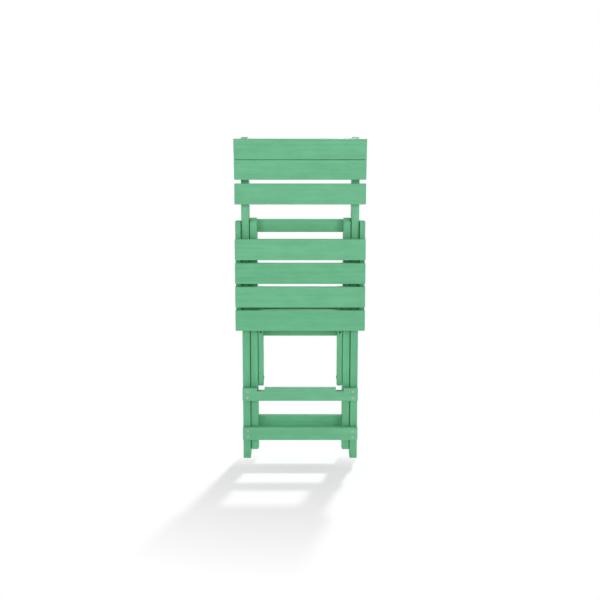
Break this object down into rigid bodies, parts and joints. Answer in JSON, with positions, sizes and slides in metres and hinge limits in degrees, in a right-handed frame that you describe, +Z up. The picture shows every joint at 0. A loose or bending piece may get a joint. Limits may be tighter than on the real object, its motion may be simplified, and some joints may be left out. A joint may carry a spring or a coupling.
{
  "type": "folding bar chair",
  "caption": "Bar-height folding chair of slatted plastic lumber: stiles with back slats, hinged seat, swinging rear legs and a hooked brace. Modelled folded, opens on a coupled fold.",
  "frame": {"origin": "on the floor under the middle of the folded chair", "axes": "+Z up, the chair faces -Y, +X to the right of the picture"},
  "size_m": [0.428, 0.1032, 1.0835],
  "materials": {
    "lumber": "semi-matte, fine brushed grain",
    "screw_steel": "satin",
    "bolt_steel": "satin dark",
    "washer_plastic": "matte"
  },
  "bodies": {
    "frame": {"left_stile": "lumber", "right_stile": "lumber", "back_slat_lower": "lumber", "back_slat_middle": "lumber", "back_slat_top": "lumber", "upper_front_rail": "lumber", "lower_front_rail": "lumber", "front_rail_screws": "screw_steel", "back_slat_screws": "screw_steel", "seat_pivot_bolts": "bolt_steel", "seat_pivot_nuts": "bolt_steel", "seat_pivot_washers": "washer_plastic", "leg_pivot_bolts": "bolt_steel", "leg_pivot_nuts": "bolt_steel", "leg_pivot_washers": "washer_plastic"},
    "rear_legs": {"left_rear_leg": "lumber", "right_rear_leg": "lumber", "rear_leg_top_rail": "lumber", "rear_leg_lower_rail": "lumber", "rear_leg_screws": "screw_steel", "brace_pivot_bolts": "bolt_steel", "brace_pivot_nuts": "bolt_steel", "brace_pivot_washers": "washer_plastic"},
    "seat": {"left_seat_rail": "lumber", "right_seat_rail": "lumber", "seat_slat_1": "lumber", "seat_slat_2": "lumber", "seat_slat_3": "lumber", "seat_slat_4": "lumber", "seat_slat_screws": "screw_steel"},
    "brace": {"left_brace_bar": "lumber", "right_brace_bar": "lumber", "brace_plank": "lumber", "brace_plank_screws": "screw_steel", "brace_bumpers": "lumber", "bumper_screws": "screw_steel"}
  },
  "joints": [
    {"name": "rear_leg_fold", "type": "hinge", "parent": "frame", "child": "rear_legs", "pos_m": [0, 0.01756, 0.727], "axis": [1, 0, 0], "range_deg": [0, 29.5]},
    {"name": "seat_fold", "type": "hinge", "parent": "frame", "child": "seat", "pos_m": [0, 0.01256, 0.789], "axis": [1, 0, 0], "range_deg": [-71.05, 0]},
    {"name": "brace_fold", "type": "hinge", "parent": "rear_legs", "child": "brace", "pos_m": [0, 0.02156, 0.2775], "axis": [1, 0, 0], "range_deg": [0, 76.56]}
  ],
  "couplings": [
    {"joint": "seat_fold", "follows": "rear_leg_fold", "ratio": -2.4085},
    {"joint": "brace_fold", "follows": "rear_leg_fold", "ratio": 2.5953}
  ]
}
